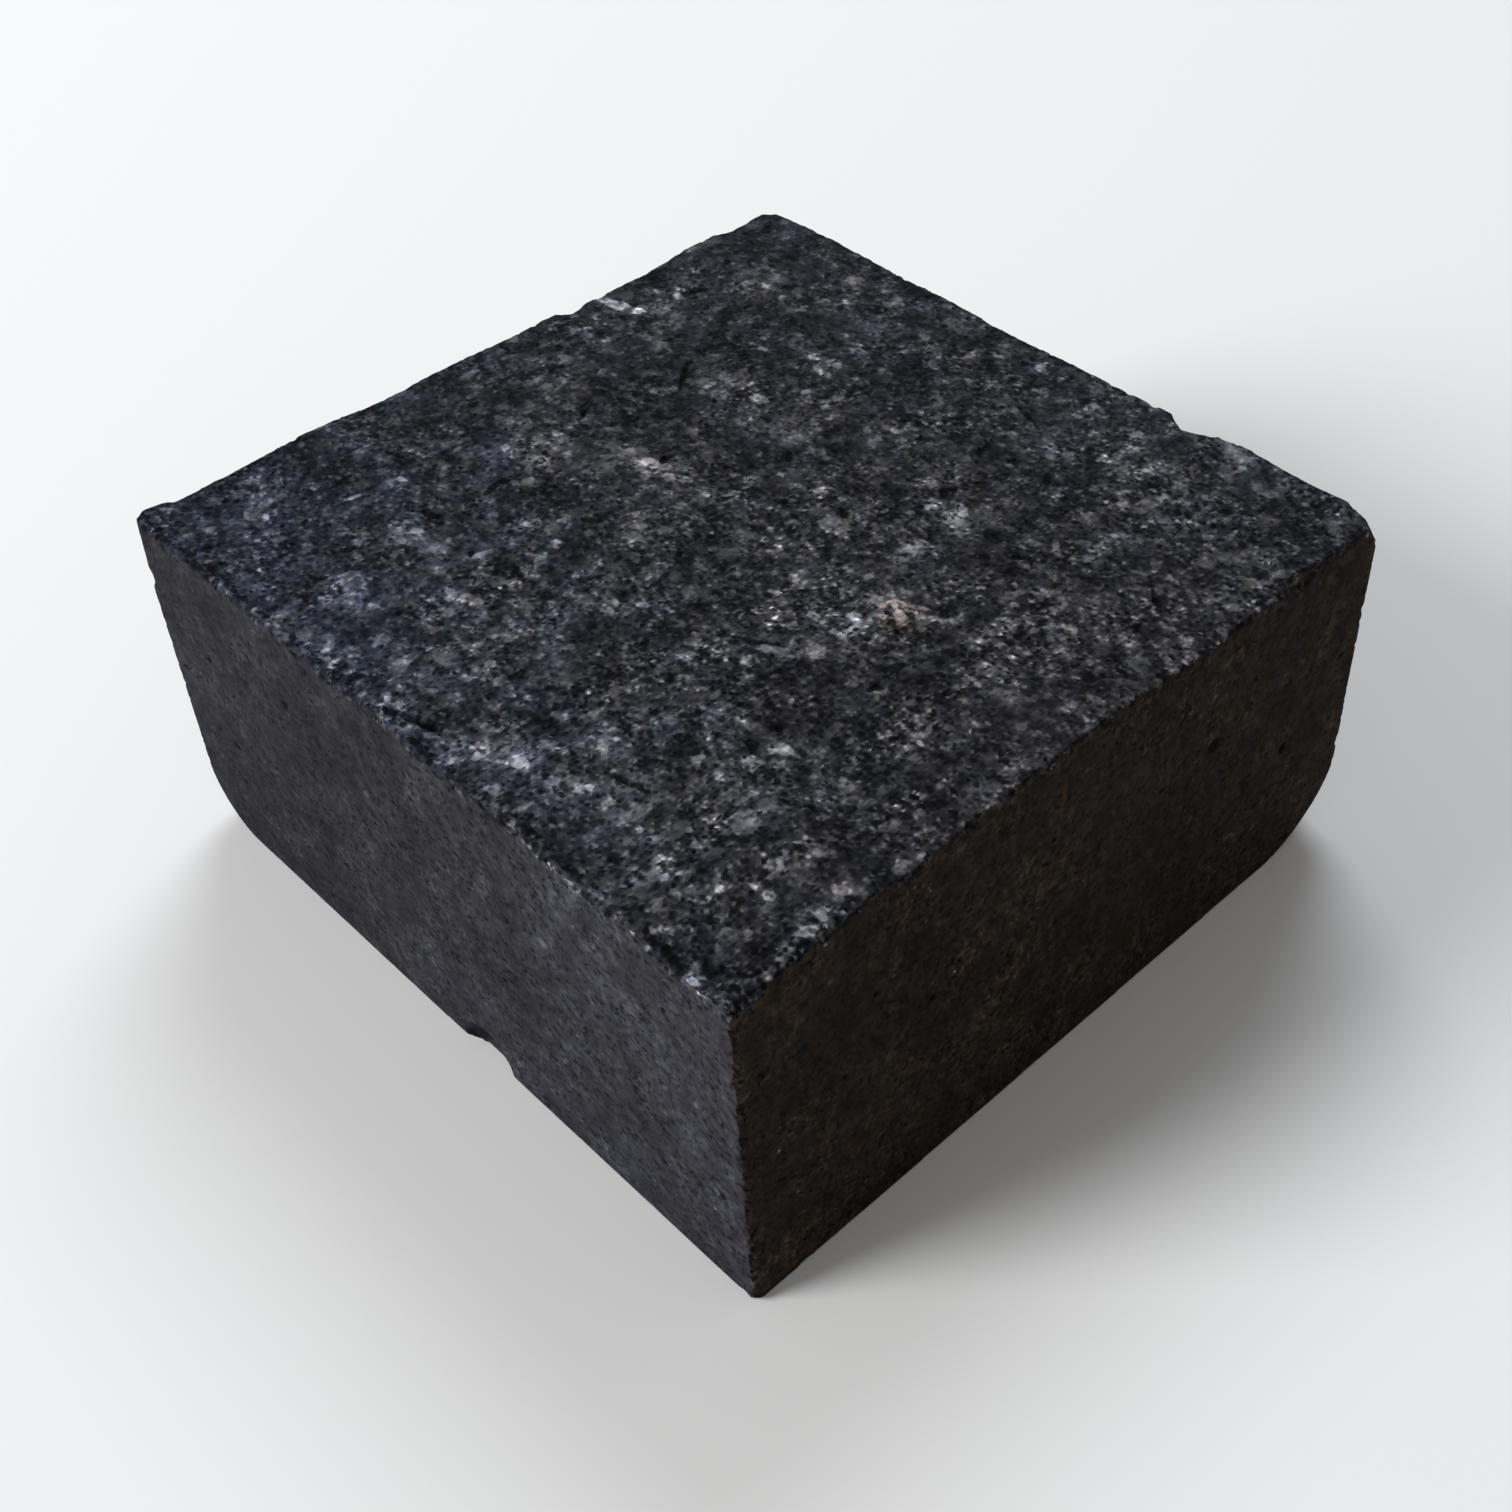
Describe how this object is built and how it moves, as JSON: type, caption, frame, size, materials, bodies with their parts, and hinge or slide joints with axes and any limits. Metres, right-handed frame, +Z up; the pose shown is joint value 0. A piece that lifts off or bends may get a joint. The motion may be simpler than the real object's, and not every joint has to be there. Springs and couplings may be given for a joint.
{
  "type": "basalt cobblestone",
  "caption": "Square basalt cobblestone with sawn sides and bed and a rough weathered top, for paving paths, drives and edgings.",
  "frame": {"origin": "middle of the bed's bounding box, on the flat bed that the stone stands on", "axes": "+Z up through the rough top; +X and -Y towards the two sawn sides that the picture shows, which meet in the front upright edge"},
  "size_m": [0.1048, 0.1014, 0.0488],
  "materials": {
    "basalt": "matt, sawn sides, rough weathered top with pale flecks"
  },
  "bodies": {
    "root": {"cobblestone": "basalt"}
  },
  "joints": []
}
